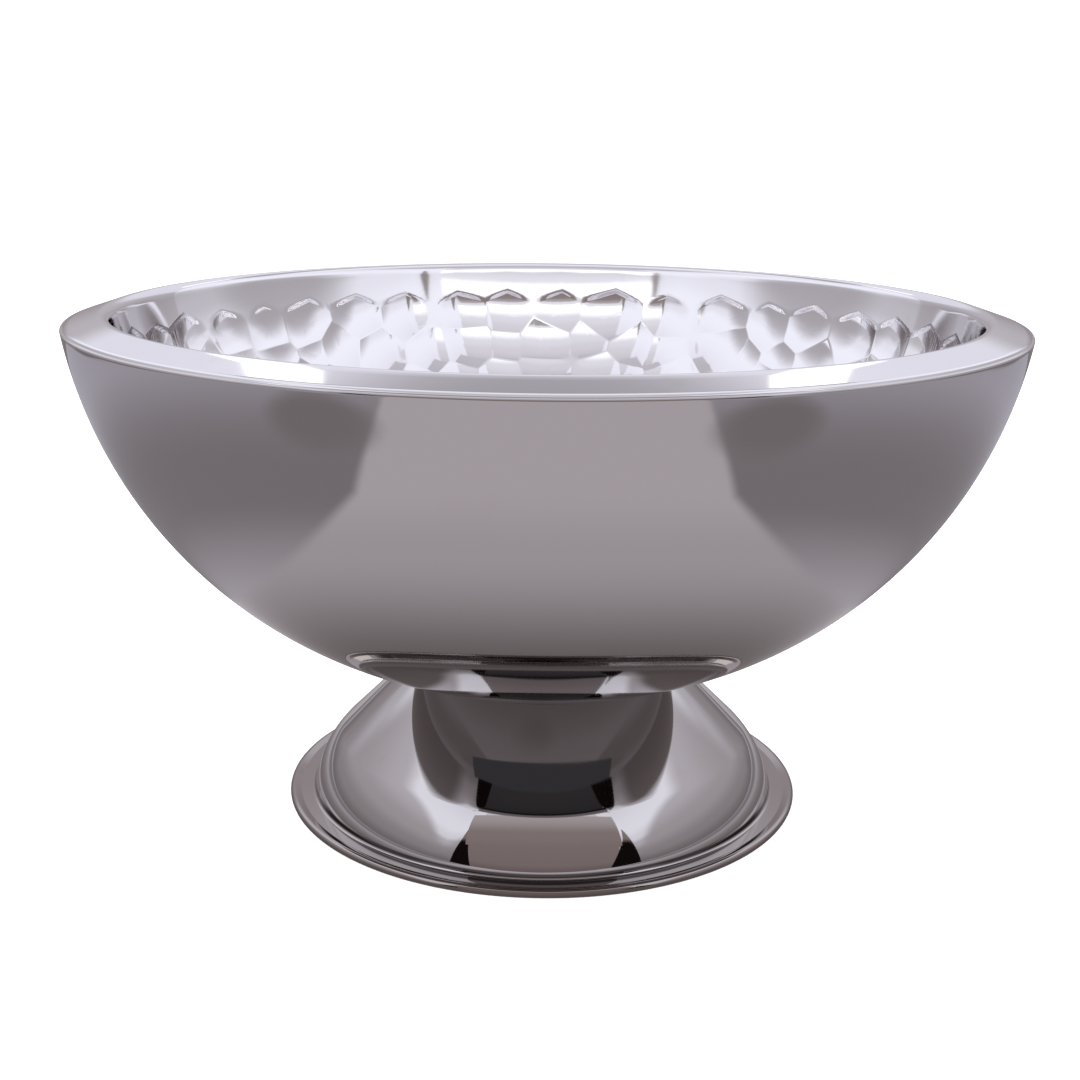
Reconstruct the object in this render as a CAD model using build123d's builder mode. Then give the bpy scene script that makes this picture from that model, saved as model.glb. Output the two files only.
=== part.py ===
"""Double-walled punch bowl on a spun foot.

A hammered inner bowl and a smooth outer shell meet at a sloping rim, with still air between them.
The shell stands on a hollow foot, held by one stud through the middle and a domed nut underneath.
Millimetres, +Z up, origin on the table under the middle of the foot.
"""

from build123d import *

import os
from math import asin, atan2, degrees, sqrt

# Overall sizes
RIM_RADIUS = 184.0  # outer edge of the rim
BOWL_HEIGHT = 201.8  # table to the highest line of the rim
FOOT_HEIGHT = 56.6  # table to the underside of the outer shell
FOOT_RADIUS = 105.7  # outer edge of the bead that the bowl stands on

# Outer shell
SHELL_SHEET = 0.9
WALL_ARC = 169.1  # radius of the wall's one long arc, seen in section
SEAT_RADIUS = 50.0  # flat bottom, the same on both bowls
SEAT_BLEND = 20.0  # soft turn from the flat bottom into the wall

# Inner bowl and rim
LINER_SHEET = 1.0
AIR_GAP = 16.3  # between the two walls
CREST_ROUND = 3.7  # roll at the top of the inner wall
RIM_DROP = 4.6  # fall from the crest to the rim's outer edge
SEAM_WIDTH = 1.2  # weld ring that joins the rim to the shell
SEAM_BEVEL = 0.5  # ground off its corner

# Foot
FOOT_SHEET = 1.0
CROWN_RADIUS = 52.9  # flat top, out to where the flank starts
CROWN_BEND = 4.0
SHOULDER_HEIGHT = 16.4  # where the flank turns down into the skirt
SHOULDER_BEND = 42.0
SKIRT_LEAN = 3.0  # how far the skirt leans in, from heel to shoulder
LEDGE_WIDTH = 10.1  # heel of the skirt to the outer edge of the bead
LEDGE_HEIGHT = 2.4  # top face of the ledge
HEEL_BEND = 1.2
BEAD_RADIUS = 1.7  # rolled edge
BEAD_FLAT = 0.15  # rubbed off the bead's lowest line, so that it stands flat
BEAD_STEP = 2.8  # inner end of the bead's ramp to the bead's middle
BEAD_TURN = 270.0  # degrees that the edge is rolled through

# Stud joint between the shell and the foot
STUD_RADIUS = 4.0
STUD_CLEARANCE = 0.25  # shell, gasket, foot and washers over the stud
THREAD_CLEARANCE = 0.05  # nut over the stud
STUD_HEAD_RADIUS = 9.0
STUD_HEAD_THICKNESS = 2.0
STUD_END_CHAMFER = 0.8
STUD_PLATE_RADIUS = 38.0
STUD_PLATE_THICKNESS = 2.0
PLATE_EDGE_BEVEL = 0.5  # top edge of the stud plate
GASKET_THICKNESS = 0.5
GASKET_EDGE = 2.5  # how far its edge stays inside the flat of the shell
CLAMP_WASHER_RADIUS = 17.0
CLAMP_WASHER_THICKNESS = 2.0
WASHER_EDGE_BEVEL = 0.4  # lower edge of the clamp washer
SPRING_WASHER_RADIUS = 7.4
SPRING_WASHER_THICKNESS = 2.2
SPRING_WASHER_ARC = 350.0  # degrees of metal, the rest is its split
NUT_ACROSS_FLATS = 13.0
NUT_HEX_HEIGHT = 6.5
NUT_BEVEL = 0.6  # turned off the corners of the hexagon, top and bottom
NUT_HEIGHT = 15.0
NUT_DOME_RADIUS = 6.25
NUT_BORE_DEPTH = 11.0
STUD_END_GAP = 1.5  # end of the stud to the bottom of the nut's bore

# Middle of the wall's arc, from the edge of the flat bottom and the edge of the rim
rim_edge = Vector(RIM_RADIUS, BOWL_HEIGHT - RIM_DROP)
seat_edge = Vector(SEAT_RADIUS, FOOT_HEIGHT)
chord = rim_edge - seat_edge
chord_to_middle = sqrt(WALL_ARC**2 - (chord.length / 2) ** 2)
arc_middle = (rim_edge + seat_edge) / 2 + Vector(-chord.Y, chord.X).normalized() * chord_to_middle

# Inner bowl: an arc about the same middle, then the crest's roll, then the rim's slope
liner_arc = WALL_ARC - SHELL_SHEET - AIR_GAP - LINER_SHEET
liner_floor = arc_middle.Y - sqrt(liner_arc**2 - (SEAT_RADIUS - arc_middle.X) ** 2)
crest_height = BOWL_HEIGHT - CREST_ROUND
crest_radius = arc_middle.X + sqrt((liner_arc + CREST_ROUND) ** 2 - (crest_height - arc_middle.Y) ** 2)
crest_middle = Vector(crest_radius, crest_height)
edge_to_crest = crest_middle - rim_edge
rim_slope = degrees(asin(CREST_ROUND / edge_to_crest.length) + atan2(edge_to_crest.Y, -edge_to_crest.X))
wall_top = arc_middle + (crest_middle - arc_middle).normalized() * liner_arc
rim_start = crest_middle + Vector(0, CREST_ROUND).rotate(Axis.Z, -rim_slope)
rim_along = (rim_edge - rim_start).normalized()
rim_underside = rim_edge - rim_along.rotate(Axis.Z, 90) * LINER_SHEET
trim_width = 8 * SHELL_SHEET  # what is trimmed off the shell's top edge, wider and taller than the metal there
trim_height = 4 * SHELL_SHEET

# Heights in the stud joint, from the foot's crown down and from the shell's bottom up
crown_top = FOOT_HEIGHT - GASKET_THICKNESS
crown_underside = crown_top - FOOT_SHEET
clamp_underside = crown_underside - CLAMP_WASHER_THICKNESS
nut_top = clamp_underside - SPRING_WASHER_THICKNESS
nut_hex_end = nut_top - NUT_HEX_HEIGHT
nut_corner = NUT_ACROSS_FLATS / sqrt(3)
nut_end = nut_top - NUT_HEIGHT
nut_bore_end = nut_top - NUT_BORE_DEPTH
shell_floor = FOOT_HEIGHT + SHELL_SHEET
stud_plate_top = shell_floor + STUD_PLATE_THICKNESS
stud_hole = STUD_RADIUS + STUD_CLEARANCE

# Foot, seen in section: corners of the outer face before they are rounded
skirt_radius = FOOT_RADIUS - LEDGE_WIDTH
crown_corner = Vector(CROWN_RADIUS, crown_top)
shoulder_corner = Vector(skirt_radius - SKIRT_LEAN, SHOULDER_HEIGHT)
heel_corner = Vector(skirt_radius, LEDGE_HEIGHT)
bead_middle = Vector(FOOT_RADIUS - BEAD_RADIUS, BEAD_RADIUS - BEAD_FLAT)
ramp_corner = Vector(bead_middle.X - BEAD_STEP, LEDGE_HEIGHT)
ramp_to_bead = bead_middle - ramp_corner
ramp_slope = degrees(asin(BEAD_RADIUS / ramp_to_bead.length) + atan2(ramp_to_bead.Y, ramp_to_bead.X))
bead_start = 90 + ramp_slope


# Inner bowl: one sheet, drawn into a bowl and turned out over the crest into the sloping rim
with BuildPart() as inner_liner:
    with BuildSketch(Plane.XZ):
        with BuildLine() as liner_skin:
            Line((0, liner_floor), (SEAT_RADIUS, liner_floor))
            RadiusArc((SEAT_RADIUS, liner_floor), wall_top, -liner_arc)
            RadiusArc(wall_top, rim_start, CREST_ROUND)
            Line(rim_start, rim_edge - rim_along * SEAM_WIDTH)
            liner_turn = liner_skin.vertices().sort_by_distance((SEAT_RADIUS, liner_floor))[0]
            fillet(liner_turn, SEAT_BLEND)
            offset(amount=LINER_SHEET, side=Side.RIGHT)
        make_face()
    revolve(axis=Axis.Z)


# Outer shell: spun sheet, its top edge trimmed to the underside of the rim
with BuildPart() as outer_shell:
    with BuildSketch(Plane.XZ):
        with BuildLine() as shell_skin:
            Line((0, FOOT_HEIGHT), seat_edge)
            RadiusArc(seat_edge, rim_edge, -WALL_ARC)
            shell_turn = shell_skin.vertices().sort_by_distance(seat_edge)[0]
            fillet(shell_turn, SEAT_BLEND)
            offset(amount=SHELL_SHEET, side=Side.LEFT)
        make_face()
        with Locations(rim_underside):
            Rectangle(
                trim_width,
                trim_height,
                rotation=-rim_slope,
                align=(Align.CENTER, Align.MIN),
                mode=Mode.SUBTRACT,
            )
    revolve(axis=Axis.Z)
    with Locations((0, 0, FOOT_HEIGHT)):
        Hole(stud_hole)


# Weld ring: fills the corner between the rim's end and the shell's top edge, ground flush
with BuildPart() as rim_seam:
    with BuildSketch(Plane.XZ) as seam_section:
        with Locations(rim_edge):
            Rectangle(2 * SEAM_WIDTH, LINER_SHEET, rotation=-rim_slope, align=(Align.CENTER, Align.MAX))
        with Locations(arc_middle):
            Circle(WALL_ARC, mode=Mode.INTERSECT)
        chamfer(seam_section.vertices().sort_by_distance(rim_edge)[0], SEAM_BEVEL)
    revolve(axis=Axis.Z)


# Stud plate: thick disc spot-welded inside the shell, so that the stud doesn't dent the sheet
with BuildPart() as stud_plate:
    with BuildSketch(Plane.XY.offset(shell_floor)):
        Circle(STUD_PLATE_RADIUS)
        Circle(stud_hole, mode=Mode.SUBTRACT)
    extrude(amount=STUD_PLATE_THICKNESS)
    chamfer(stud_plate.edges().group_by(Axis.Z)[-1].sort_by(SortBy.LENGTH)[-1], PLATE_EDGE_BEVEL)


# Stud: its head is welded to the plate, its shank comes out through the shell and the foot
with BuildPart() as foot_stud:
    with BuildSketch(Plane.XY.offset(stud_plate_top)):
        Circle(STUD_HEAD_RADIUS)
    extrude(amount=STUD_HEAD_THICKNESS)
    with BuildSketch(Plane.XY.offset(stud_plate_top)):
        Circle(STUD_RADIUS)
    extrude(amount=nut_bore_end + STUD_END_GAP - stud_plate_top)
    chamfer(foot_stud.edges().group_by(Axis.Z)[0], STUD_END_CHAMFER)


# Gasket: thin ring between the shell and the crown, keeps the two polished faces apart
with BuildPart() as joint_gasket:
    with BuildSketch(Plane.XY.offset(crown_top)):
        Circle(min(SEAT_RADIUS, CROWN_RADIUS) - GASKET_EDGE)
        Circle(stud_hole, mode=Mode.SUBTRACT)
    extrude(amount=GASKET_THICKNESS)


# Foot: spun from one disc, with a flat crown, a straight flank, a rounded skirt and a rolled edge
with BuildPart() as pedestal_foot:
    with BuildSketch(Plane.XZ):
        with BuildLine():
            roll = CenterArc(bead_middle, BEAD_RADIUS, bead_start, -BEAD_TURN)
            roll_inside = CenterArc(bead_middle, BEAD_RADIUS - FOOT_SHEET, bead_start, -BEAD_TURN)
            Line(roll @ 0, roll_inside @ 0)
            Line(roll @ 1, roll_inside @ 1)
        make_face()
        with BuildLine():
            FilletPolyline(
                (stud_hole, crown_top),
                crown_corner,
                shoulder_corner,
                heel_corner,
                ramp_corner,
                roll @ 0,
                radius=[CROWN_BEND, SHOULDER_BEND, HEEL_BEND, HEEL_BEND],
            )
            offset(amount=FOOT_SHEET, side=Side.RIGHT)
        make_face()
    revolve(axis=Axis.Z)
    split(bisect_by=Plane.XY)


# Clamp washer: spreads the nut's pull over the underside of the crown
with BuildPart() as clamp_washer:
    with BuildSketch(Plane.XY.offset(clamp_underside)):
        Circle(CLAMP_WASHER_RADIUS)
        Circle(stud_hole, mode=Mode.SUBTRACT)
    extrude(amount=CLAMP_WASHER_THICKNESS)
    chamfer(clamp_washer.edges().group_by(Axis.Z)[0].sort_by(SortBy.LENGTH)[-1], WASHER_EDGE_BEVEL)


# Spring washer: split ring that keeps the nut tight
with BuildPart() as spring_washer:
    with BuildSketch(Plane.XZ):
        with Locations((stud_hole, nut_top)):
            Rectangle(
                SPRING_WASHER_RADIUS - stud_hole,
                SPRING_WASHER_THICKNESS,
                align=(Align.MIN, Align.MIN),
            )
    revolve(axis=Axis.Z, revolution_arc=SPRING_WASHER_ARC)


# Domed nut: closed end down, so that no thread shows or scratches
with BuildPart() as dome_nut:
    with BuildSketch(Plane.XY.offset(nut_top)):
        RegularPolygon(NUT_ACROSS_FLATS / 2, 6, major_radius=False)
    extrude(amount=-NUT_HEX_HEIGHT)
    with BuildSketch(Plane.XZ):
        with BuildLine():
            Polyline(
                (0, nut_top),
                (NUT_ACROSS_FLATS / 2, nut_top),
                (nut_corner, nut_top - NUT_BEVEL),
                (nut_corner, nut_hex_end + NUT_BEVEL),
                (NUT_ACROSS_FLATS / 2, nut_hex_end),
                (0, nut_hex_end),
                close=True,
            )
        make_face()
    revolve(axis=Axis.Z, mode=Mode.INTERSECT)
    with BuildSketch(Plane.XZ):
        with BuildLine():
            dome_start = nut_end + NUT_DOME_RADIUS
            Polyline((0, nut_end), (0, nut_top), (NUT_DOME_RADIUS, nut_top), (NUT_DOME_RADIUS, dome_start))
            RadiusArc((NUT_DOME_RADIUS, dome_start), (0, nut_end), NUT_DOME_RADIUS)
        make_face()
    revolve(axis=Axis.Z)
    with BuildSketch(Plane.XY.offset(nut_top)):
        Circle(STUD_RADIUS + THREAD_CLEARANCE)
    extrude(amount=-NUT_BORE_DEPTH, mode=Mode.SUBTRACT)


pieces = {
    "inner_liner": inner_liner,
    "outer_shell": outer_shell,
    "rim_seam": rim_seam,
    "stud_plate": stud_plate,
    "foot_stud": foot_stud,
    "joint_gasket": joint_gasket,
    "pedestal_foot": pedestal_foot,
    "clamp_washer": clamp_washer,
    "spring_washer": spring_washer,
    "dome_nut": dome_nut,
}
os.makedirs("parts", exist_ok=True)
for name, piece in pieces.items():
    piece.part.label = name
    export_step(piece.part, f"parts/{name}.step")
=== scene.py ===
import bmesh
import bpy
import numpy as np
from mathutils import Matrix, Vector


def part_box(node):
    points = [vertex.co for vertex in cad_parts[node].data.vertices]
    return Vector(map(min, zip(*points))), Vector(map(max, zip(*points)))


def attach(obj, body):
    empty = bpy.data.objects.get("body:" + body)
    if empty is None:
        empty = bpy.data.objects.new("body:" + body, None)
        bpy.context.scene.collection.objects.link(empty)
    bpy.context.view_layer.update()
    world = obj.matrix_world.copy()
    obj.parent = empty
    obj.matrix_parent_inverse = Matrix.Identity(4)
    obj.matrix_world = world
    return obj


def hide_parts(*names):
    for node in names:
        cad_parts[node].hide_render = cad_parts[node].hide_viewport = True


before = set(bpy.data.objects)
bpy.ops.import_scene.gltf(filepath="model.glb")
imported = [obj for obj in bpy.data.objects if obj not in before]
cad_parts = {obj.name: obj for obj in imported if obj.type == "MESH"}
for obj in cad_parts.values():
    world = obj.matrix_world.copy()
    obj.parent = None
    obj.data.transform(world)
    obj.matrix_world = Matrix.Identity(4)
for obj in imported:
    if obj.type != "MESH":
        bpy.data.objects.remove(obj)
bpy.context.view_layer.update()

# ---------------------------------------------------------------------------
# Outer shell. The polished bowl that shows from outside: one stainless disc spun to a
# single long arc over a flat seat and buffed to a mirror. Its top edge is welded under
# the rim, and the foot's stud leaves through a hole in its middle.
WALL_MIDDLE = np.array([0.016789, 0.222407])  # (r, z), shared by both walls
SHELL_ARC = 0.1691
SHELL_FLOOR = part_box("outer_shell")[0].z
SHELL_SHEET = 0.0009
SHELL_TURN = 0.020  # soft turn from the flat seat into the wall
SHELL_TOP = -8.914, -8.868  # degrees, outer and inner skin, cut to the rim's slope
STUD_HOLE = 0.00425


def arc(middle, radius, start, end, steps):
    """Points middle + radius (cos a, sin a), with a going evenly from start to end in degrees."""
    a = np.radians(np.linspace(start, end, steps + 1))
    return middle + radius * np.stack([np.cos(a), np.sin(a)], 1)


def wall_skin(floor, radius, turn, top, start):
    """Half section (r, z) of a bowl's skin, from the start radius outwards: flat at the floor's
    height, then a turn that touches both the floor and the wall's circle, then that circle about
    WALL_MIDDLE up to the angle top."""
    rise = WALL_MIDDLE[1] - floor - turn
    turn_middle = np.array([WALL_MIDDLE[0] + np.sqrt((radius - turn) ** 2 - rise**2), floor + turn])
    across, up = turn_middle - WALL_MIDDLE
    meets = np.degrees(np.arctan2(up, across))
    flat = np.linspace([start, floor], [turn_middle[0], floor], 24, endpoint=False)
    blend = arc(turn_middle, turn, -90, meets, 6)[:-1]
    return np.concatenate([flat, blend, arc(WALL_MIDDLE, radius, meets, top, 110)])


def spun(name, section, turns):
    """Surface of revolution: point (r, z) of the closed section goes to (r cos a, r sin a, z) for
    even steps of a. The faces are turned to point out of the metal, which the sign of the enclosed
    volume tells."""
    a = np.linspace(0, 2 * np.pi, turns, endpoint=False)
    r, z = section[:, :1], section[:, 1:]
    points = np.stack([r * np.cos(a), r * np.sin(a), z + 0 * a], -1).reshape(-1, 3)
    i, j = np.meshgrid(np.arange(len(section)), np.arange(turns), indexing="ij")
    i2, j2 = (i + 1) % len(section), (j + 1) % turns
    faces = np.stack([i * turns + j, i * turns + j2, i2 * turns + j2, i2 * turns + j], -1).reshape(-1, 4)
    p, q, s = points[faces[:, 0]], points[faces[:, 1]], points[faces[:, 2]]
    if np.einsum("ij,ij->", p, np.cross(q, s)) < 0:
        faces = faces[:, ::-1]
    mesh = bpy.data.meshes.new(name)
    mesh.from_pydata(points.tolist(), [], faces.tolist())
    mesh.polygons.foreach_set("use_smooth", np.ones(len(faces), bool))
    mesh.set_sharp_from_angle(angle=np.radians(40))
    piece = bpy.data.objects.new(name, mesh)
    bpy.context.scene.collection.objects.link(piece)
    return piece


shell_outside = wall_skin(SHELL_FLOOR, SHELL_ARC, SHELL_TURN, SHELL_TOP[0], STUD_HOLE)
shell_inside = wall_skin(
    SHELL_FLOOR + SHELL_SHEET, SHELL_ARC - SHELL_SHEET, SHELL_TURN - SHELL_SHEET, SHELL_TOP[1], STUD_HOLE
)
shell = spun("shell_spun", np.concatenate([shell_outside, shell_inside[::-5]]), 540)

# Buffing lines: the mop goes round the bowl, so its hairlines are rings, closer together than they
# are long.
buffing = bpy.data.node_groups.new("buffing_lines", "ShaderNodeTree")
rings_socket = buffing.interface.new_socket("Rings per metre", in_out="INPUT", socket_type="NodeSocketFloat")
rings_socket.default_value = 900
buffing.interface.new_socket("Lines", in_out="OUTPUT", socket_type="NodeSocketFloat")
n, link = buffing.nodes, buffing.links.new
ring_in, ring_out = n.new("NodeGroupInput"), n.new("NodeGroupOutput")
place = n.new("ShaderNodeTexCoord")
apart = n.new("ShaderNodeSeparateXYZ")
flat_place = n.new("ShaderNodeVectorMath")
flat_place.operation = "MULTIPLY"
flat_place.inputs[1].default_value = (1, 1, 0)
from_axis = n.new("ShaderNodeVectorMath")
from_axis.operation = "LENGTH"
ring = n.new("ShaderNodeMath")
ring.operation = "SUBTRACT"
ring_scaled = n.new("ShaderNodeMath")
ring_scaled.operation = "MULTIPLY"
turned = n.new("ShaderNodeVectorMath")
turned.operation = "SCALE"
turned.inputs["Scale"].default_value = 14
gathered = n.new("ShaderNodeCombineXYZ")
turned_apart = n.new("ShaderNodeSeparateXYZ")
hairs = n.new("ShaderNodeTexNoise")
hairs.inputs["Scale"].default_value = 1
hairs.inputs["Detail"].default_value = 3
link(place.outputs["Object"], apart.inputs[0])
link(place.outputs["Object"], flat_place.inputs[0])
link(flat_place.outputs[0], from_axis.inputs[0])
link(from_axis.outputs["Value"], ring.inputs[0])
link(apart.outputs["Z"], ring.inputs[1])
link(ring.outputs[0], ring_scaled.inputs[0])
link(ring_in.outputs["Rings per metre"], ring_scaled.inputs[1])
link(place.outputs["Object"], turned.inputs[0])
link(turned.outputs[0], turned_apart.inputs[0])
link(turned_apart.outputs["X"], gathered.inputs[0])
link(turned_apart.outputs["Y"], gathered.inputs[1])
link(ring_scaled.outputs[0], gathered.inputs[2])
link(gathered.outputs[0], hairs.inputs["Vector"])
link(hairs.outputs["Fac"], ring_out.inputs["Lines"])

# Handling: soft wiped patches a hand or cloth leaves, and a few thin warm stains of dried drops.
handling = bpy.data.node_groups.new("wiped_patches", "ShaderNodeTree")
handling.interface.new_socket("Patches", in_out="OUTPUT", socket_type="NodeSocketFloat")
handling.interface.new_socket("Stain", in_out="OUTPUT", socket_type="NodeSocketFloat")
n, link = handling.nodes, handling.links.new
hand_out, place = n.new("NodeGroupOutput"), n.new("ShaderNodeTexCoord")
wipes = n.new("ShaderNodeTexNoise")
wipes.inputs["Scale"].default_value = 16
wipes.inputs["Detail"].default_value = 5
wipes.inputs["Distortion"].default_value = 0.8
drops = n.new("ShaderNodeTexNoise")
drops.inputs["Scale"].default_value = 23
drops.inputs["Detail"].default_value = 4
drops.inputs["Roughness"].default_value = 0.62
few = n.new("ShaderNodeMapRange")
few.interpolation_type = "SMOOTHSTEP"
few.inputs["From Min"].default_value = 0.60
few.inputs["From Max"].default_value = 0.78
link(place.outputs["Object"], wipes.inputs["Vector"])
link(place.outputs["Object"], drops.inputs["Vector"])
link(drops.outputs["Fac"], few.inputs["Value"])
link(wipes.outputs["Fac"], hand_out.inputs["Patches"])
link(few.outputs[0], hand_out.inputs["Stain"])


def bright_steel(name, tint, stain_tint, gloss, rings, line_height):
    """Mirror-finished stainless: tint where clean and stain_tint where stained, roughness from
    gloss[0] to gloss[1] over the wiped patches, and buffing lines of that many rings a metre raised
    by line_height metres."""
    material = bpy.data.materials.new(name)
    material.use_nodes = True
    nodes, link = material.node_tree.nodes, material.node_tree.links.new
    steel = nodes["Principled BSDF"]
    steel.inputs["Metallic"].default_value = 1.0
    lines = nodes.new("ShaderNodeGroup")
    lines.node_tree = buffing
    lines.inputs["Rings per metre"].default_value = rings
    marks = nodes.new("ShaderNodeGroup")
    marks.node_tree = handling
    colour = nodes.new("ShaderNodeMix")
    colour.data_type = "RGBA"
    colour.inputs["A"].default_value = (*tint, 1)
    colour.inputs["B"].default_value = (*stain_tint, 1)
    link(marks.outputs["Stain"], colour.inputs["Factor"])
    link(colour.outputs["Result"], steel.inputs["Base Color"])
    spread = nodes.new("ShaderNodeMapRange")
    spread.inputs["From Min"].default_value = 0.35
    spread.inputs["From Max"].default_value = 0.70
    spread.inputs["To Min"].default_value = gloss[0]
    spread.inputs["To Max"].default_value = gloss[1]
    link(marks.outputs["Patches"], spread.inputs["Value"])
    link(spread.outputs[0], steel.inputs["Roughness"])
    raised = nodes.new("ShaderNodeBump")
    raised.inputs["Strength"].default_value = 1.0
    raised.inputs["Distance"].default_value = line_height
    link(lines.outputs["Lines"], raised.inputs["Height"])
    link(raised.outputs[0], steel.inputs["Normal"])
    return material


shell_steel = bright_steel("shell_steel", (0.64, 0.62, 0.625), (0.634, 0.61, 0.61), (0.035, 0.075), 900, 4e-7)
shell.data.materials.append(shell_steel)
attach(shell, "root")
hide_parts("outer_shell")

# ---------------------------------------------------------------------------
# Weld ring. Where the rim's sheet meets the shell's top edge the two are
# welded all round, then the weld is ground and buffed to a small round corner.
RIM_EDGE = np.array([0.184, 0.1972])  # (r, z) of the corner before it is rounded
RIM_SLOPE = 18.32  # degrees, down and outwards
RIM_SHEET = 0.001
WELD_WIDTH = 0.0012
WELD_ROUND = 0.0008


def bent(corners, radii, steps):
    """Half section along straight legs between the corners, each corner rounded with its radius by
    an arc that touches both legs. The arc's middle lies on the legs' bisector, at radius / sin(half
    the angle between them)."""
    corners = np.asarray(corners, float)
    runs = [corners[:1]]
    for before, corner, after, radius in zip(corners[:-2], corners[1:-1], corners[2:], radii):
        back, on = before - corner, after - corner
        back, on = back / np.linalg.norm(back), on / np.linalg.norm(on)
        half = np.arccos(back @ on) / 2
        middle = corner + (back + on) / np.linalg.norm(back + on) * radius / np.sin(half)
        first = corner + back * radius / np.tan(half) - middle
        last = corner + on * radius / np.tan(half) - middle
        start = np.degrees(np.arctan2(first[1], first[0]))
        sweep = (np.degrees(np.arctan2(last[1], last[0])) - start + 180) % 360 - 180
        runs.append(arc(middle, radius, start, start + sweep, steps))
    return np.concatenate([*runs, corners[-1:]])


along_rim = np.array([np.cos(np.radians(RIM_SLOPE)), -np.sin(np.radians(RIM_SLOPE))])
into_rim = np.array([along_rim[1], -along_rim[0]])
shell_end = shell_outside[-1]
weld_top = bent([shell_end, RIM_EDGE, RIM_EDGE - along_rim * WELD_WIDTH], [WELD_ROUND], 10)
weld_section = np.concatenate([weld_top, [RIM_EDGE - along_rim * WELD_WIDTH + into_rim * RIM_SHEET]])
weld = spun("weld_ring", weld_section, 720)
weld.data.materials.append(shell_steel)
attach(weld, "root")
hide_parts("rim_seam")

# ---------------------------------------------------------------------------
# Foot. Spun from one disc: flat crown under the bowl, straight flank, rounded
# skirt, a narrow ledge, and a rolled edge that it stands on. Buffed brighter
# than the bowl. The nut under the crown pulls it tight.
FOOT_SHEET = 0.001
CROWN_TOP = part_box("pedestal_foot")[1].z
CROWN_RADIUS, CROWN_BEND = 0.0529, 0.004
SHOULDER, SHOULDER_BEND = (0.0926, 0.0164), 0.042
HEEL, RAMP, HEEL_BEND = (0.0956, 0.0024), (0.1012, 0.0024), 0.0012
BEAD_MIDDLE, BEAD_RADIUS = np.array([0.1040, 0.00155]), 0.0017
BEAD_START, BEAD_TURN = 108.62, 270.0  # degrees

roll = arc(BEAD_MIDDLE, BEAD_RADIUS, BEAD_START, BEAD_START - BEAD_TURN, 40)
foot_legs = bent(
    [(STUD_HOLE, CROWN_TOP), (CROWN_RADIUS, CROWN_TOP), SHOULDER, HEEL, RAMP, roll[0]],
    [CROWN_BEND, SHOULDER_BEND, HEEL_BEND, HEEL_BEND],
    22,
)
legs_length = np.concatenate([[0], np.cumsum(np.linalg.norm(np.diff(foot_legs, axis=0), axis=1))])
fill = np.linspace(0, legs_length[-1], 90)[1:-1]
even = np.unique(np.concatenate([legs_length, fill[np.abs(fill[:, None] - legs_length).min(1) > 0.0007]]))
foot_outside = np.stack([np.interp(even, legs_length, foot_legs[:, k]) for k in (0, 1)], 1)
foot_outside = np.concatenate([foot_outside, roll[1:]])
way = np.gradient(foot_outside, axis=0)
way /= np.linalg.norm(way, axis=1, keepdims=True)
foot_inside = foot_outside + FOOT_SHEET * np.stack([way[:, 1], -way[:, 0]], 1)
foot_section = np.concatenate([foot_outside, foot_inside[::-2]])
foot_section[:, 1] = np.maximum(foot_section[:, 1], 0)  # the bead is rubbed flat where it stands
foot = spun("foot_spun", foot_section, 400)
foot_steel = bright_steel("foot_steel", (0.64, 0.62, 0.625), (0.60, 0.50, 0.40), (0.015, 0.045), 1400, 2.5e-7)
foot.data.materials.append(foot_steel)

# The ledge and rolled edge are tinted brown, and the corner above them is painted near black:
# painted shade in the hollow of the corner.
nodes, link = foot_steel.node_tree.nodes, foot_steel.node_tree.links.new
steel = nodes["Principled BSDF"]
clean = steel.inputs["Base Color"].links[0].from_socket
place = nodes.new("ShaderNodeTexCoord")
level_place, from_axis = nodes.new("ShaderNodeVectorMath"), nodes.new("ShaderNodeVectorMath")
level_place.operation, from_axis.operation = "MULTIPLY", "LENGTH"
level_place.inputs[1].default_value = (1, 1, 0)
heights, section_place = nodes.new("ShaderNodeSeparateXYZ"), nodes.new("ShaderNodeCombineXYZ")
to_corner = nodes.new("ShaderNodeVectorMath")
to_corner.operation = "DISTANCE"
to_corner.inputs[1].default_value = (HEEL[0] + 0.0001, HEEL[1] + 0.0016, 0)
browned, hollow_shade = nodes.new("ShaderNodeMapRange"), nodes.new("ShaderNodeMapRange")
browned.interpolation_type = hollow_shade.interpolation_type = "SMOOTHSTEP"
browned_values = HEEL[0] - 0.0006, HEEL[0] + 0.0012, 0, 0.55  # by distance from the axis
# painted shade: near black at the corner above the ledge, fading out with distance from it
hollow_shade_values = 0.0005, 0.0012, 0.85, 0  # by distance from the corner
for node, values in ((browned, browned_values), (hollow_shade, hollow_shade_values)):
    for key, value in zip(("From Min", "From Max", "To Min", "To Max"), values):
        node.inputs[key].default_value = value
brown, dark = nodes.new("ShaderNodeMix"), nodes.new("ShaderNodeMix")
for node, colour in ((brown, (0.25, 0.20, 0.175, 1)), (dark, (0.035, 0.028, 0.025, 1))):
    node.data_type = "RGBA"
    node.inputs["B"].default_value = colour
link(place.outputs["Object"], level_place.inputs[0])
link(level_place.outputs[0], from_axis.inputs[0])
link(place.outputs["Object"], heights.inputs[0])
link(from_axis.outputs["Value"], section_place.inputs[0])
link(heights.outputs["Z"], section_place.inputs[1])
link(section_place.outputs[0], to_corner.inputs[0])
link(from_axis.outputs["Value"], browned.inputs["Value"])
link(to_corner.outputs["Value"], hollow_shade.inputs["Value"])
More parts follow.
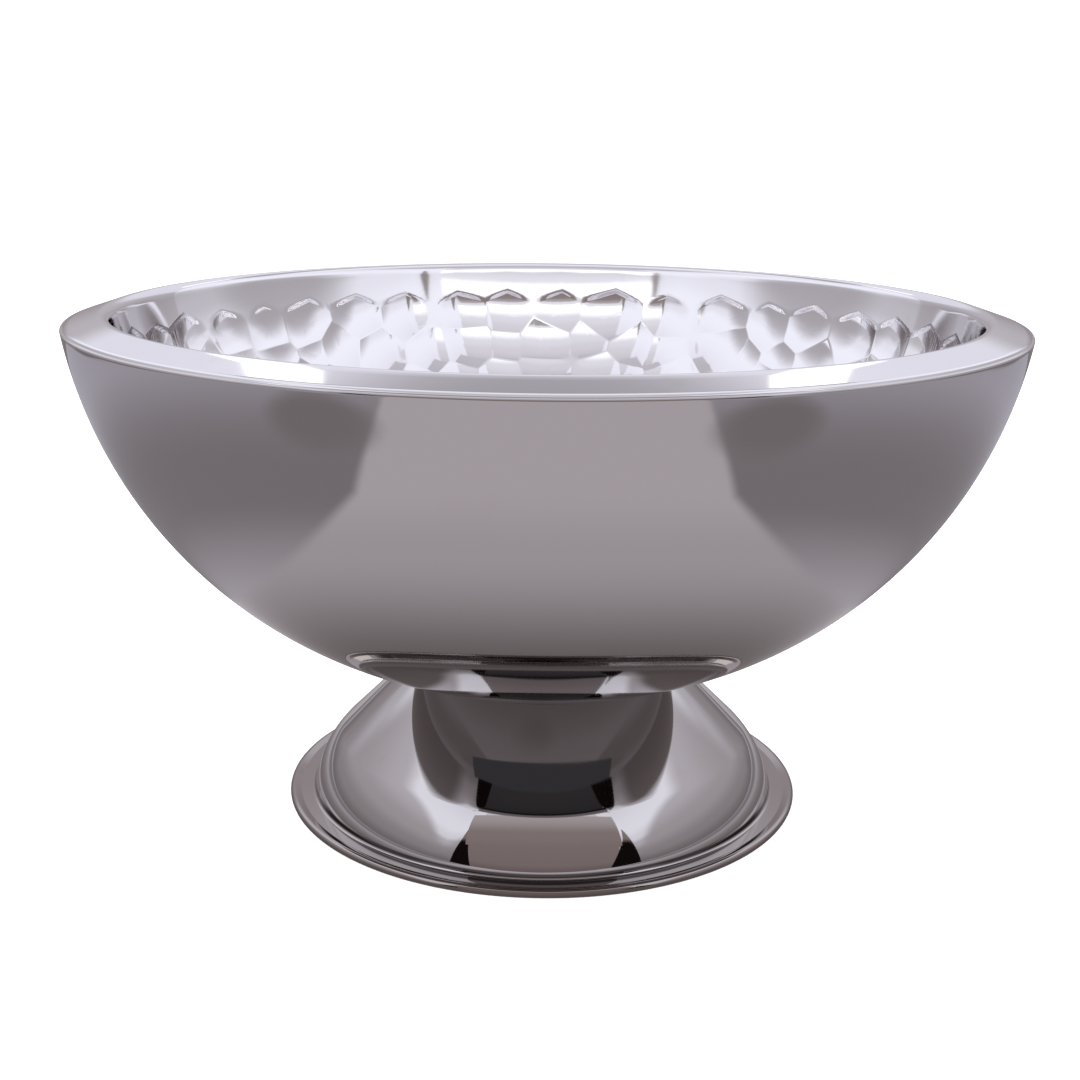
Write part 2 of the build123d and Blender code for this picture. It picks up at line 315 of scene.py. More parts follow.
# one dried splash on the flank, which the noise of the wiped patches breaks up
splash, either = nodes.new("ShaderNodeVectorMath"), nodes.new("ShaderNodeMath")
splash.operation, either.operation = "DISTANCE", "MAXIMUM"
blotch = nodes.new("ShaderNodeMapRange")
blotch.interpolation_type = "SMOOTHSTEP"
splash.inputs[1].default_value = (-0.003, -0.0625, 0.0455)
blotch.inputs["From Min"].default_value, blotch.inputs["From Max"].default_value = 0.002, 0.011
blotch.inputs["To Min"].default_value, blotch.inputs["To Max"].default_value = 0.42, 0
broken = nodes.new("ShaderNodeMath")
broken.operation = "MULTIPLY"
marks = steel.inputs["Roughness"].links[0].from_node.inputs["Value"].links[0].from_node
link(place.outputs["Object"], splash.inputs[0])
link(splash.outputs["Value"], blotch.inputs["Value"])
link(blotch.outputs[0], broken.inputs[0])
link(marks.outputs["Patches"], broken.inputs[1])
link(browned.outputs[0], either.inputs[0])
link(broken.outputs[0], either.inputs[1])
link(either.outputs[0], brown.inputs["Factor"])
link(hollow_shade.outputs[0], dark.inputs["Factor"])
link(clean, brown.inputs["A"])
link(brown.outputs["Result"], dark.inputs["A"])
link(dark.outputs["Result"], steel.inputs["Base Color"])
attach(foot, "root")
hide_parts("pedestal_foot")

# ---------------------------------------------------------------------------
# Inner bowl. A second, smaller bowl of the same steel, hammered all over from
# inside up to a smooth band, then turned out over a rounded crest into the
# sloping rim. Each blow leaves a shallow dish, and dishes meet in ridges. Its steel is tinted
# lighter than the shell's: painted light that brightens everything it mirrors.
LINER_SHEET = 0.001
LINER_ARC = 0.1509
LINER_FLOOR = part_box("inner_liner")[0].z + LINER_SHEET
LINER_TURN = 0.020
CREST_ROUND = 0.0037
CREST_MIDDLE = np.array([0.169496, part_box("inner_liner")[1].z - CREST_ROUND])
BLOWS_ROUND_TOP = 39
BLOW_DEPTH = 0.00125
BLOW_REACH = 0.0125  # from a dish's middle out to untouched metal
BLOW_FORCE = 0.0011  # how much harder or softer a blow may be, as a share of its distance from the eye
ROW_STEP = 0.0158
BLOW_STEP = 0.0205  # along a row, but wider in the top one
TOP_ROW = 0.0218  # from the crest's roll down to the middles of the top row
BAND_ROW = 0.030  # from the top row up to the smooth places between its peaks
BAND_FORCE = 0.0079  # these hold their ground: the peaks stay nearer the top row than half way
EDGE_STEPS = 5
RINGS = np.array([0, 0.28, 0.54, 0.77, 0.94, 1])  # from a dish's middle out to its ridge
TOP_PHASE, BAND_PHASE = 0.43, 0.93  # where a row's first mark stands, as a share of the row's spacing
STRAY_ROUND = 0.12, 0.30  # how far a blow strays along its row, top row and others, share of the spacing
STRAY_UP = 0.07, 0.24  # and across it, share of the step between rows
BAND_STRAY = 0.08

crest_across, crest_up = CREST_MIDDLE - WALL_MIDDLE
wall_end = np.degrees(np.arctan2(crest_up, crest_across))
skin = wall_skin(LINER_FLOOR, LINER_ARC, LINER_TURN, wall_end, 0)
skin_length = np.concatenate([[0], np.cumsum(np.linalg.norm(np.diff(skin, axis=0), axis=1))])
eye = np.array([0, 0, WALL_MIDDLE[1]])  # a middle from which the whole skin is seen
skin_angle = np.arctan2(skin[:, 0], eye[2] - skin[:, 1])


def on_skin(direction):
    """Where a line from the eye along each direction meets the smooth inner skin, as (x, y, z). The
    angle from straight down gives r and z along the section, and the direction's bearing turns them
    round the axis."""
    level = np.hypot(direction[..., 0], direction[..., 1])
    angle = np.arctan2(level, -direction[..., 2])
    r, z = np.interp(angle, skin_angle, skin[:, 0]), np.interp(angle, skin_angle, skin[:, 1])
    bearing = np.arctan2(direction[..., 1], direction[..., 0])
    return np.stack([r * np.cos(bearing), r * np.sin(bearing), z], -1)


def off_skin(points):
    """Unit vectors square to the smooth skin at the points, towards the inside of the bowl. In
    section they come from the skin's own direction (dr, dz) as (-dz, dr)."""
    angle = np.arctan2(np.hypot(points[..., 0], points[..., 1]), eye[2] - points[..., 2])
    step = np.gradient(skin, axis=0)
    step /= np.linalg.norm(step, axis=1, keepdims=True)
    out, up = np.interp(angle, skin_angle, -step[:, 1]), np.interp(angle, skin_angle, step[:, 0])
    bearing = np.arctan2(points[..., 1], points[..., 0])
    return np.stack([out * np.cos(bearing), out * np.sin(bearing), up], -1)


# Middles of the blows: rows round the bowl, each with room for whole dishes, a little uneven as
# hand work is.
# Another seed may run a ridge backwards along the foot of the smooth band, which leaves the mesh
# open there.
rng = np.random.default_rng(12)
rows = np.arange(skin_length[-1] - TOP_ROW, 0.006, -ROW_STEP)
row_round = 2 * np.pi * np.interp(rows, skin_length, skin[:, 0])
row_counts = np.maximum(np.round(row_round / BLOW_STEP), 1).astype(int)
row_counts[0] = BLOWS_ROUND_TOP
blow_row = np.repeat(np.arange(len(rows)), row_counts)
blow_place = np.concatenate([np.arange(c) for c in row_counts])
phase = rng.random(len(rows))
phase[0] = TOP_PHASE
stray = np.where(blow_row == 0, *STRAY_ROUND)
turn = blow_place + phase[blow_row] + stray * rng.uniform(-1, 1, len(blow_row))
turn = turn * 2 * np.pi / row_counts[blow_row]
rise = rows[blow_row] + np.where(blow_row == 0, *STRAY_UP) * ROW_STEP * rng.uniform(-1, 1, len(blow_row))
blow_r, blow_z = np.interp(rise, skin_length, skin[:, 0]), np.interp(rise, skin_length, skin[:, 1])
blows = np.stack([blow_r * np.cos(turn), blow_r * np.sin(turn), blow_z - eye[2]], 1)
band_turn = np.arange(BLOWS_ROUND_TOP) + BAND_PHASE + BAND_STRAY * rng.uniform(-1, 1, BLOWS_ROUND_TOP)
band_turn = band_turn * 2 * np.pi / BLOWS_ROUND_TOP
band_angle = (rows[0] + BAND_ROW - skin_length[-1]) / LINER_ARC + skin_angle[-1]
band = np.stack([np.cos(band_turn), np.sin(band_turn), np.full(BLOWS_ROUND_TOP, -1 / np.tan(band_angle))], 1)
lid_turn = np.linspace(0, 2 * np.pi, 12, endpoint=False)
lid = np.stack([np.cos(lid_turn), np.sin(lid_turn), np.full(12, 1.2)], 1)
middles = np.concatenate([blows, band, lid, [[0, 0, 1]]])
middles /= np.linalg.norm(middles, axis=1, keepdims=True)
middles[: len(blows)] *= 1 + BLOW_FORCE * rng.uniform(-1, 1, (len(blows), 1))
middles[len(blows) : len(blows) + len(band)] *= 1 + BAND_FORCE

# The hull of the middles joins neighbours, and the line square to each of its triangles is a corner
# of three dishes.
net = bmesh.new()
for middle in middles:
    net.verts.new(middle)
net.verts.index_update()
bmesh.ops.convex_hull(net, input=net.verts)
bmesh.ops.triangulate(net, faces=net.faces)
net.faces.index_update()
net.verts.index_update()
three = np.array([[v.index for v in f.verts] for f in net.faces])
pairs = np.array([[e.verts[0].index, e.verts[1].index, *(f.index for f in e.link_faces)] for e in net.edges])
net.free()
corner = np.cross(middles[three[:, 1]] - middles[three[:, 0]], middles[three[:, 2]] - middles[three[:, 0]])
corner *= np.sign(np.einsum("ij,ij->i", corner, middles[three[:, 0]]))[:, None]
corner /= np.linalg.norm(corner, axis=1, keepdims=True)
wedges = np.concatenate([pairs, pairs[:, [1, 0, 2, 3]]])
wedges = wedges[wedges[:, 0] < len(blows)]
own = middles[wedges[:, 0]]
p = np.linspace(0, 1, EDGE_STEPS + 1)[:, None]
q = RINGS[:, None, None]
ridge = corner[wedges[:, 2]][:, None] * (1 - p) + corner[wedges[:, 3]][:, None] * p
ridge /= np.linalg.norm(ridge, axis=-1, keepdims=True)
dish = own[:, None, None] * (1 - q) + ridge[:, None] * q
dish /= np.linalg.norm(dish, axis=-1, keepdims=True)
flat_dish = on_skin(dish)
shared = wedges[:, 1] < len(blows)
# A dish is as deep as its middle's share of the direction, (direction . middle), is above that at
# the blow's reach.
edge_share = np.cos(BLOW_REACH / LINER_ARC)
nearness = np.einsum("wkmx,wx->wkm", dish, own)
sink = -BLOW_DEPTH * np.clip((nearness - edge_share) / (1 - edge_share), 0, None)
hammered = flat_dish + off_skin(flat_dish) * sink[..., None]

# Smooth band, crest, rim and the sheet's hidden underside, carried round from the top row's own peaks.
rim_line = hammered[~shared, -1].reshape(-1, 3)
rim_dir = dish[~shared, -1].reshape(-1, 3)
bearing = np.arctan2(rim_line[:, 1], rim_line[:, 0])
order = np.argsort(bearing)
keep = order[np.concatenate([[True], np.diff(bearing[order]) > 1e-6])]
bearing, rim_line, rim_dir = bearing[keep], rim_line[keep], rim_dir[keep]
start_angle = np.arctan2(np.hypot(rim_dir[:, 0], rim_dir[:, 1]), -rim_dir[:, 2])
share = np.concatenate([[0.08], np.linspace(0.2, 1, 8)])[:, None]
band_rise = start_angle * (1 - share) + skin_angle[-1] * share
level = np.sin(band_rise)
band_points = on_skin(np.stack([level * np.cos(bearing), level * np.sin(bearing), -np.cos(band_rise)], -1))
rim_lip = RIM_EDGE - along_rim * WELD_WIDTH
crest = arc(CREST_MIDDLE, CREST_ROUND, wall_end + 180, 90 - RIM_SLOPE, 16)[1:]
rim_flat = np.linspace(crest[-1], rim_lip, 6)[1:]
rim_under = np.linspace(rim_lip + into_rim * RIM_SHEET, crest[-1] + into_rim * RIM_SHEET, 4)
crest_under = arc(CREST_MIDDLE, CREST_ROUND - LINER_SHEET, 90 - RIM_SLOPE, wall_end + 180, 8)[1:]
wall_under = arc(WALL_MIDDLE, LINER_ARC + LINER_SHEET, wall_end - 1, wall_end - 4, 3)
low_under = wall_skin(
    LINER_FLOOR - LINER_SHEET - BLOW_DEPTH,
    LINER_ARC + LINER_SHEET + BLOW_DEPTH,
    LINER_TURN + LINER_SHEET,
    wall_end - 6,
    0,
)[::-6]
on_axis = [[0, low_under[-1, 1]]]
outline = np.concatenate([crest, rim_flat, rim_under, crest_under, wall_under, low_under, on_axis])
carried = np.stack(
    [outline[:, :1] * np.cos(bearing), outline[:, :1] * np.sin(bearing), outline[:, 1:] + 0 * bearing], -1
)
strip = np.concatenate([rim_line[None], band_points, carried])

# One closed mesh: the dishes' wedges and the strip, joined where they share a line.
w, k, m = hammered.shape[:3]
a, b, c = np.meshgrid(np.arange(w), np.arange(k - 1), np.arange(m - 1), indexing="ij")
at = (a * k + b) * m + c
dish_faces = np.stack([at, at + 1, at + m + 1, at + m], -1).reshape(-1, 4)
k2, m2 = strip.shape[:2]
b, c = np.meshgrid(np.arange(k2 - 1), np.arange(m2), indexing="ij")
c2 = (c + 1) % m2
strip_faces = np.stack([b * m2 + c, b * m2 + c2, (b + 1) * m2 + c2, (b + 1) * m2 + c], -1).reshape(-1, 4)
strip_faces += w * k * m
liner_points = np.concatenate([hammered.reshape(-1, 3), strip.reshape(-1, 3)])
liner_mesh = bpy.data.meshes.new("liner_hammered")
liner_mesh.from_pydata(liner_points.tolist(), [], np.concatenate([dish_faces, strip_faces]).tolist())
whole = bmesh.new()
whole.from_mesh(liner_mesh)
bmesh.ops.remove_doubles(whole, verts=whole.verts, dist=2e-7)
bmesh.ops.recalc_face_normals(whole, faces=whole.faces)
whole.to_mesh(liner_mesh)
whole.free()
liner_mesh.polygons.foreach_set("use_smooth", np.ones(len(liner_mesh.polygons), bool))
liner = bpy.data.objects.new("liner_hammered", liner_mesh)
bpy.context.scene.collection.objects.link(liner)
# painted light: the liner's tint is lighter than the shell's, though both are the same steel
liner_steel = bright_steel("liner_steel", (0.82, 0.81, 0.83), (0.77, 0.74, 0.72), (0.04, 0.09), 700, 3e-7)
liner.data.materials.append(liner_steel)
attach(liner, "root")
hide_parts("inner_liner")

# ---------------------------------------------------------------------------
# Stud joint. Inside the shell a thick plate carries a welded stud; under the
# foot's crown a plain washer, a spring washer and a domed nut close it.
# Plate, stud and washers are bare mill-finish steel, the nut is bright.
plain_steel = bpy.data.materials.new("plain_steel")
plain_steel.use_nodes = True
nodes, link = plain_steel.node_tree.nodes, plain_steel.node_tree.links.new
steel = nodes["Principled BSDF"]
steel.inputs["Metallic"].default_value = 1.0
grain = nodes.new("ShaderNodeTexNoise")
grain.inputs["Scale"].default_value = 900
grain.inputs["Detail"].default_value = 4
cloud = nodes.new("ShaderNodeTexNoise")
cloud.inputs["Scale"].default_value = 120
cloud.inputs["Detail"].default_value = 5
place = nodes.new("ShaderNodeTexCoord")
dull = nodes.new("ShaderNodeMapRange")
dull.inputs["To Min"].default_value = 0.28
dull.inputs["To Max"].default_value = 0.48
shade = nodes.new("ShaderNodeMix")
shade.data_type = "RGBA"
shade.inputs["A"].default_value = (0.42, 0.42, 0.43, 1)
shade.inputs["B"].default_value = (0.60, 0.60, 0.61, 1)
tooth = nodes.new("ShaderNodeBump")
tooth.inputs["Distance"].default_value = 5e-6
link(place.outputs["Object"], grain.inputs["Vector"])
link(place.outputs["Object"], cloud.inputs["Vector"])
link(grain.outputs["Fac"], dull.inputs["Value"])
link(dull.outputs[0], steel.inputs["Roughness"])
link(cloud.outputs["Fac"], shade.inputs["Factor"])
link(shade.outputs["Result"], steel.inputs["Base Color"])
link(grain.outputs["Fac"], tooth.inputs["Height"])
link(tooth.outputs[0], steel.inputs["Normal"])
for node in ("stud_plate", "foot_stud", "clamp_washer", "spring_washer"):
    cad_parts[node].data.materials.clear()
    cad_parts[node].data.materials.append(plain_steel)
nut_steel = bright_steel("nut_steel", (0.66, 0.65, 0.65), (0.55, 0.48, 0.42), (0.06, 0.14), 2600, 6e-7)
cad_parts["dome_nut"].data.materials.clear()
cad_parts["dome_nut"].data.materials.append(nut_steel)

# ---------------------------------------------------------------------------
# Gasket. A ring of black rubber sheet, half a millimetre thick, that keeps
# the two polished faces from rubbing. Only its edge shows, as a dark line.
rubber = bpy.data.materials.new("gasket_rubber")
rubber.use_nodes = True
nodes, link = rubber.node_tree.nodes, rubber.node_tree.links.new
gum = nodes["Principled BSDF"]
gum.inputs["Roughness"].default_value = 0.6
bloom = nodes.new("ShaderNodeTexNoise")
bloom.inputs["Scale"].default_value = 300
bloom.inputs["Detail"].default_value = 5
black = nodes.new("ShaderNodeMix")
black.data_type = "RGBA"
black.inputs["A"].default_value = (0.012, 0.012, 0.012, 1)
black.inputs["B"].default_value = (0.035, 0.034, 0.033, 1)
place = nodes.new("ShaderNodeTexCoord")
pores = nodes.new("ShaderNodeBump")
pores.inputs["Distance"].default_value = 2e-5
link(place.outputs["Object"], bloom.inputs["Vector"])
link(bloom.outputs["Fac"], black.inputs["Factor"])
link(black.outputs["Result"], gum.inputs["Base Color"])
link(bloom.outputs["Fac"], pores.inputs["Height"])
link(pores.outputs[0], gum.inputs["Normal"])
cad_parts["joint_gasket"].data.materials.clear()
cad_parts["joint_gasket"].data.materials.append(rubber)

# ---------------------------------------------------------------------------
# Studio. A white floor and white surround for the eye. What the polished
# metal mirrors is kept apart from them: a grey table top with darker sides,
# pale walls, a dull screen in front with a dark stand at each side of it.


def mirrored_only(thing):
    """The object shows in reflections alone: no camera, no shadow, no light on anything matt."""
    for kind in ("camera", "diffuse", "shadow", "transmission", "volume_scatter"):
        setattr(thing, f"visible_{kind}", False)


def board(name, corners):
    """One flat face through the four corners."""
    mesh = bpy.data.meshes.new(name)
    mesh.from_pydata(corners, [], [range(len(corners))])
    thing = bpy.data.objects.new(name, mesh)
    bpy.context.scene.collection.objects.link(thing)
    return thing


def srgb(*levels):
    """Display levels 0 to 255 as light: (v / 255) to the power 2.2, near enough."""
    return tuple((v / 255) ** 2.2 for v in levels)


floor = board("floor", [(-4, -4, 0), (4, -4, 0), (4, 4, 0), (-4, 4, 0)])
floor.visible_glossy = False
white = bpy.data.materials.new("floor_white")
white.use_nodes = True
nodes, link = white.node_tree.nodes, white.node_tree.links.new
matt = nodes["Principled BSDF"]
matt.inputs["Base Color"].default_value = (0.8, 0.8, 0.8, 1)
matt.inputs["Roughness"].default_value = 1.0
matt.inputs["Specular IOR Level"].default_value = 0.0
matt.inputs["Emission Color"].default_value = (1, 1, 1, 1)
matt.inputs["Emission Strength"].default_value = 0.75
floor.data.materials.append(white)

REFLECTS = 0.63  # share of light the steel gives back, so that a card can be set by how it looks in it

table = board("table_mirrored", [(-3, -3, -0.0005), (3, -3, -0.0005), (3, 3, -0.0005), (-3, 3, -0.0005)])
mirrored_only(table)
table_top = bpy.data.materials.new("table_top")
table_top.use_nodes = True
nodes, link = table_top.node_tree.nodes, table_top.node_tree.links.new
nodes.remove(nodes["Principled BSDF"])
glow = nodes.new("ShaderNodeEmission")
glow.inputs["Strength"].default_value = 1 / REFLECTS
link(glow.outputs[0], nodes["Material Output"].inputs["Surface"])
place = nodes.new("ShaderNodeTexCoord")
apart = nodes.new("ShaderNodeSeparateXYZ")
link(place.outputs["Object"], apart.inputs[0])


def sum_of(nodes, link, operation, *values):
    """One Math node on sockets or plain numbers."""
    node = nodes.new("ShaderNodeMath")
    node.operation = operation
    for i, value in enumerate(values):
        if hasattr(value, "links"):
            link(value, node.inputs[i])
        else:
            node.inputs[i].default_value = value
    return node.outputs[0]


def ramp(nodes, link, value, low, high, smooth=True):
    """0 below low, 1 above high, and an S-shaped rise between. With high under low it falls."""
    node = nodes.new("ShaderNodeMapRange")
    node.interpolation_type = "SMOOTHSTEP" if smooth else "LINEAR"
    link(value, node.inputs["Value"])
    if low > high:
        low, high = high, low
        node.inputs["To Min"].default_value, node.inputs["To Max"].default_value = 1, 0
    node.inputs["From Min"].default_value, node.inputs["From Max"].default_value = low, high
    return node.outputs[0]


def blend_of(nodes, link, factor, first, second):
    """A colour between first and second, each a socket or display levels."""
    node = nodes.new("ShaderNodeMix")
    node.data_type = "RGBA"
    link(factor, node.inputs["Factor"])
    for key, value in (("A", first), ("B", second)):
        if hasattr(value, "links"):
            link(value, node.inputs[key])
        else:
            node.inputs[key].default_value = (*srgb(*value), 1)
    return node.outputs["Result"]


x, y = apart.outputs["X"], apart.outputs["Y"]
side = sum_of(nodes, link, "ABSOLUTE", x)
away = sum_of(nodes, link, "MULTIPLY", y, -1)
x_square, y_square = sum_of(nodes, link, "MULTIPLY", x, x), sum_of(nodes, link, "MULTIPLY", y, y)
from_middle = sum_of(nodes, link, "SQRT", sum_of(nodes, link, "ADD", x_square, y_square))
# half width of the light strip: straight behind, and wider towards the front
past = sum_of(nodes, link, "MAXIMUM", sum_of(nodes, link, "SUBTRACT", away, 0.25), 0.0)
half_width = sum_of(nodes, link, "ADD", sum_of(nodes, link, "MULTIPLY", past, 0.42), 0.182)
outside = ramp(nodes, link, sum_of(nodes, link, "SUBTRACT", side, half_width), -0.006, 0.012)
past_foot = ramp(nodes, link, from_middle, 0.17, 0.30)
near_side = blend_of(nodes, link, past_foot, (144, 140, 146), (110, 106, 109))
side_tone = blend_of(nodes, link, ramp(nodes, link, from_middle, 0.35, 0.75), near_side, (142, 139, 147))
# painted shadow: the light strip darkens towards the foot, where the bowl shades the table
from_under = ramp(nodes, link, from_middle, 0.085, 0.225)
strip_bowl_shadowed = blend_of(nodes, link, from_under, (92, 86, 86), (147, 143, 147))
strip_tone = blend_of(nodes, link, ramp(nodes, link, from_middle, 0.22, 0.32), strip_bowl_shadowed, (157, 152, 156))
tone = blend_of(nodes, link, outside, strip_tone, side_tone)
path = nodes.new("ShaderNodeLightPath")
again = ramp(nodes, link, path.outputs["Ray Depth"], 1.4, 1.6, False)
past_edge = sum_of(nodes, link, "MULTIPLY", again, ramp(nodes, link, away, 0.262, 0.270))
reach = sum_of(nodes, link, "ADD", sum_of(nodes, link, "MULTIPLY", away, 0.9), 0.03)
within_reach = ramp(nodes, link, sum_of(nodes, link, "SUBTRACT", side, reach), 0.01, 0.0)
past_edge = sum_of(nodes, link, "MULTIPLY", past_edge, within_reach)
# a soft dark patch each side, where a stand shades the cloth, and everything duller where steel
# mirrors steel
across_patch = sum_of(nodes, link, "DIVIDE", sum_of(nodes, link, "SUBTRACT", side, 0.335), 0.105)
along_patch = sum_of(nodes, link, "DIVIDE", sum_of(nodes, link, "SUBTRACT", away, 0.350), 0.080)
across_square = sum_of(nodes, link, "MULTIPLY", across_patch, across_patch)
along_square = sum_of(nodes, link, "MULTIPLY", along_patch, along_patch)
patch_square = sum_of(nodes, link, "ADD", across_square, along_square)
tone = blend_of(nodes, link, ramp(nodes, link, patch_square, 1.7, 0.3), tone, (106, 101, 103))
tone = blend_of(nodes, link, sum_of(nodes, link, "MULTIPLY", again, 0.75), tone, (84, 78, 78))
link(blend_of(nodes, link, past_edge, tone, (60, 60, 62)), glow.inputs["Color"])
table_top.cycles.emission_sampling = "NONE"
table.data.materials.append(table_top)


def tones_along(nodes, link, place, stops):
    """Display levels that go from stop to stop of a place in metres, each stop a (place,
    levels)."""
    low, high = stops[0][0], stops[-1][0]
    along = nodes.new("ShaderNodeMapRange")
    along.inputs["From Min"].default_value, along.inputs["From Max"].default_value = low, high
    link(place, along.inputs["Value"])
    tones = nodes.new("ShaderNodeValToRGB")
    tones.color_ramp.interpolation = "EASE"
    while len(tones.color_ramp.elements) < len(stops):
        tones.color_ramp.elements.new(0.5)
    for element, (where, levels) in zip(tones.color_ramp.elements, stops):
        element.position = (where - low) / (high - low)
        element.color = (*srgb(*levels), 1)
    link(along.outputs[0], tones.inputs["Fac"])
    return tones.outputs["Color"]


def card(name, corners, axis, stops, stops_again=None, stops_far=None):
    """A board that gives off light and shows in mirrors alone, its tones along one axis. It may
    have tones of its own where one piece mirrors it in another, and from far off, as a lit cloth
    looks brighter seen from higher up."""
    thing = board(name, corners)
    mirrored_only(thing)
    material = bpy.data.materials.new(name)
    material.use_nodes = True
    material.cycles.emission_sampling = "NONE"
    nodes, link = material.node_tree.nodes, material.node_tree.links.new
    nodes.remove(nodes["Principled BSDF"])
    glow = nodes.new("ShaderNodeEmission")
    glow.inputs["Strength"].default_value = 1 / REFLECTS
    link(glow.outputs[0], nodes["Material Output"].inputs["Surface"])
    place, apart = nodes.new("ShaderNodeTexCoord"), nodes.new("ShaderNodeSeparateXYZ")
    link(place.outputs["Object"], apart.inputs[0])
    where = apart.outputs[axis]
    shown = tones_along(nodes, link, where, stops)
    path = nodes.new("ShaderNodeLightPath")
    if stops_far:
        far = ramp(nodes, link, path.outputs["Ray Length"], 0.90, 1.0)
        shown = blend_of(nodes, link, far, shown, tones_along(nodes, link, where, stops_far))
    if stops_again:
        again = ramp(nodes, link, path.outputs["Ray Depth"], 1.4, 1.6, False)
        if stops_far:
            close_by = ramp(nodes, link, path.outputs["Ray Length"], 0.92, 0.80)
            again = sum_of(nodes, link, "MULTIPLY", again, close_by)
        shown = blend_of(nodes, link, again, shown, tones_along(nodes, link, where, stops_again))
    link(shown, glow.inputs["Color"])
    thing.data.materials.append(material)


# A tent of white cloth round the table, lit from above: its walls are dim low down.
WIDE, BACK, FRONT, TALL = 0.75, 0.85, -0.75, 1.3
SCREEN = 0.545
CANOPY = 0.29
low_tones = [
    (0.0, (104, 99, 101)), (0.12, (126, 121, 124)), (0.30, (146, 142, 146)), (0.60, (166, 163, 169)),
    (0.85, (176, 174, 181)), (1.05, (190, 189, 197)), (TALL, (194, 193, 202)),
]
front_tones = [
    (0.0, (104, 99, 101)), (0.12, (126, 121, 124)), (0.30, (146, 142, 146)), (0.60, (164, 161, 167)),
    (0.80, (170, 168, 175)), (1.0, (192, 191, 199)), (TALL, (200, 199, 208)),
]
again_tones = [
    (0.0, (84, 78, 78)), (0.38, (94, 88, 88)), (0.50, (170, 168, 174)), (0.62, (216, 216, 224)),
    (TALL, (232, 232, 242)),
]
far_tones = [
    (0.0, (104, 99, 101)), (0.18, (132, 128, 131)), (0.32, (164, 162, 168)), (0.42, (200, 200, 208)),
    (0.60, (212, 213, 222)), (TALL, (202, 202, 211)),
]
for hand, x in (("left", -WIDE), ("right", WIDE)):
    wall = [(x, FRONT, 0), (x, BACK, 0), (x, BACK, TALL), (x, FRONT, TALL)]
    card(f"tent_{hand}", wall, "Z", low_tones, again_tones, far_tones)
    near = SCREEN * np.sign(x)
    wall = [(x, FRONT, 0), (near, FRONT, 0), (near, FRONT, TALL), (x, FRONT, TALL)]
    card(f"tent_front_{hand}", wall, "Z", front_tones, again_tones, far_tones)
over_screen_tones = [
    (CANOPY, (140, 136, 137)), (0.36, (168, 165, 168)), (0.46, (200, 199, 205)), (0.49, (246, 246, 250)),
    (0.58, (236, 236, 242)), (0.74, (194, 193, 199)), (1.0, (184, 182, 188)), (TALL, (174, 172, 178)),
]
wall = [(-SCREEN, FRONT, CANOPY), (SCREEN, FRONT, CANOPY), (SCREEN, FRONT, TALL), (-SCREEN, FRONT, TALL)]
card("tent_front", wall, "Z", over_screen_tones)
back_tones = [
    (0.0, (104, 99, 101)), (0.12, (126, 121, 124)), (0.38, (154, 150, 155)), (0.52, (190, 189, 198)),
    (1.0, (196, 195, 204)), (TALL, (138, 135, 140)),
]
wall = [(-WIDE, BACK, 0), (WIDE, BACK, 0), (WIDE, BACK, TALL), (-WIDE, BACK, TALL)]
card("tent_back", wall, "Z", back_tones)
roof_tones = [
    (FRONT, (166, 163, 169)), (-0.30, (160, 157, 163)), (0.0, (190, 188, 196)), (0.40, (208, 208, 215)),
    (0.55, (204, 203, 211)), (0.70, (150, 147, 153)), (BACK, (136, 133, 138)),
]
roof = [(-WIDE, FRONT, TALL), (WIDE, FRONT, TALL), (WIDE, BACK, TALL), (-WIDE, BACK, TALL)]
card("tent_top", roof, "Y", roof_tones)
LAMP_PLACE, LAMP_HALF_WIDTH, LAMP_LOW, LAMP_HIGH = 0.44, 0.05, 0.75, 1.1
LAMP_Y = BACK - 0.02
for hand, x in (("left", -LAMP_PLACE), ("right", LAMP_PLACE)):
    left, right_edge = x - LAMP_HALF_WIDTH, x + LAMP_HALF_WIDTH
    lit = [(left, LAMP_Y, LAMP_LOW), (right_edge, LAMP_Y, LAMP_LOW)]
    lit += [(right_edge, LAMP_Y, LAMP_HIGH), (left, LAMP_Y, LAMP_HIGH)]
    card(f"lamp_back_{hand}", lit, "Z", [(LAMP_LOW, (255, 255, 255)), (LAMP_HIGH, (255, 255, 255))])

# In front a dull screen, a canopy just over the camera, and a dark stand at each side.
wall = [(-SCREEN, FRONT, 0), (SCREEN, FRONT, 0), (SCREEN, FRONT, CANOPY), (-SCREEN, FRONT, CANOPY)]
screen_tones = [(0.0, (98, 88, 88)), (0.10, (112, 102, 101)), (CANOPY, (114, 104, 103))]
card("screen_low", wall, "Z", screen_tones, [(0.0, (56, 54, 56)), (CANOPY, (48, 47, 49))])
NEAR = -0.25
shade = [(-0.185, NEAR, CANOPY), (0.195, NEAR, CANOPY), (0.585, FRONT, CANOPY), (-0.53, FRONT, CANOPY)]
shade_tones = [(FRONT, (114, 104, 103)), (-0.42, (120, 110, 109)), (NEAR, (150, 144, 145))]
shade_again = [(FRONT, (34, 33, 35)), (-0.52, (30, 28, 29)), (-0.48, (100, 94, 95)), (NEAR, (112, 106, 107))]
card("canopy", shade, "Y", shade_tones, shade_again)
stand_tones = [(0.0, (22, 18, 18)), (0.32, (22, 18, 18)), (0.42, (110, 102, 100)), (0.60, (120, 112, 110))]
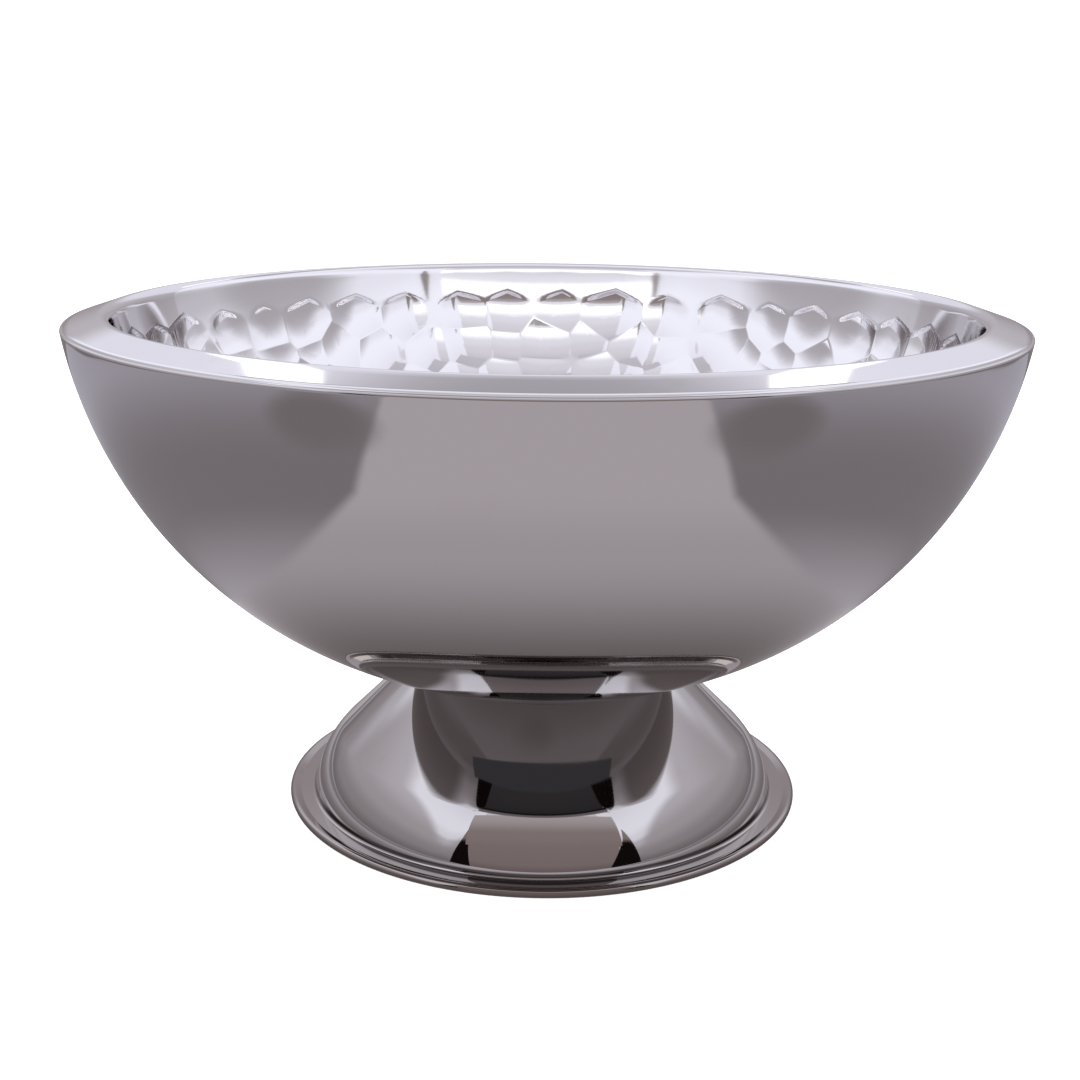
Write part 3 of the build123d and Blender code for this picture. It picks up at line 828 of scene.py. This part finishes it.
stand_far = [(0.0, (112, 104, 102)), (0.60, (120, 112, 110))]
STAND_Y, KNEE, TOP = -0.70, 0.38, 0.60
stand_left = [(-0.600, 0), (-0.420, 0), (-0.486, KNEE), (-0.530, TOP), (-0.540, TOP), (-0.545, KNEE)]
stand_right = [(0.410, 0), (0.700, 0), (0.655, KNEE), (0.630, TOP), (0.620, TOP), (0.570, KNEE)]
for hand, outline in (("left", stand_left), ("right", stand_right)):
    corners = [(x, STAND_Y, z) for x, z in outline]
    card(f"stand_{hand}", corners, "Z", stand_tones, None, stand_far)

# For everything else the room is plain white.
world = bpy.data.worlds.new("room")
bpy.context.scene.world = world
world.use_nodes = True
seen = world.node_tree.nodes["Background"]
seen.inputs["Color"].default_value = (1, 1, 1, 1)
seen.inputs["Strength"].default_value = 1.15

# A big soft lamp overhead, whose light the matt parts and the floor also get.
lamp = bpy.data.lights.new("overhead", "AREA")
lamp.shape = "RECTANGLE"
lamp.size, lamp.size_y = 2.4, 1.8
lamp.energy = 22
overhead = bpy.data.objects.new("overhead", lamp)
overhead.location = (0, 0.2, 1.7)
overhead.visible_camera = False
bpy.context.scene.collection.objects.link(overhead)

# Camera: level with the rim and a little above, looking slightly down.
CAMERA_PLACE = Vector((0.0, -0.6188, 0.2761))
PITCH, YAW, ROLL = 0.2686, -0.003, 0.0101
forward = Vector((np.sin(YAW) * np.cos(PITCH), np.cos(YAW) * np.cos(PITCH), -np.sin(PITCH)))
right = forward.cross(Vector((0, 0, 1))).normalized()
up = right.cross(forward)
right, up = right * np.cos(ROLL) + up * np.sin(ROLL), up * np.cos(ROLL) - right * np.sin(ROLL)
camera = bpy.data.objects.new("camera", bpy.data.cameras.new("camera"))
camera.data.lens = 52.37
camera.data.sensor_width = 36
camera.matrix_world = Matrix.Translation(CAMERA_PLACE) @ Matrix((right, up, -forward)).transposed().to_4x4()
bpy.context.scene.collection.objects.link(camera)
bpy.context.scene.camera = camera
bpy.context.scene.view_settings.view_transform = "Standard"
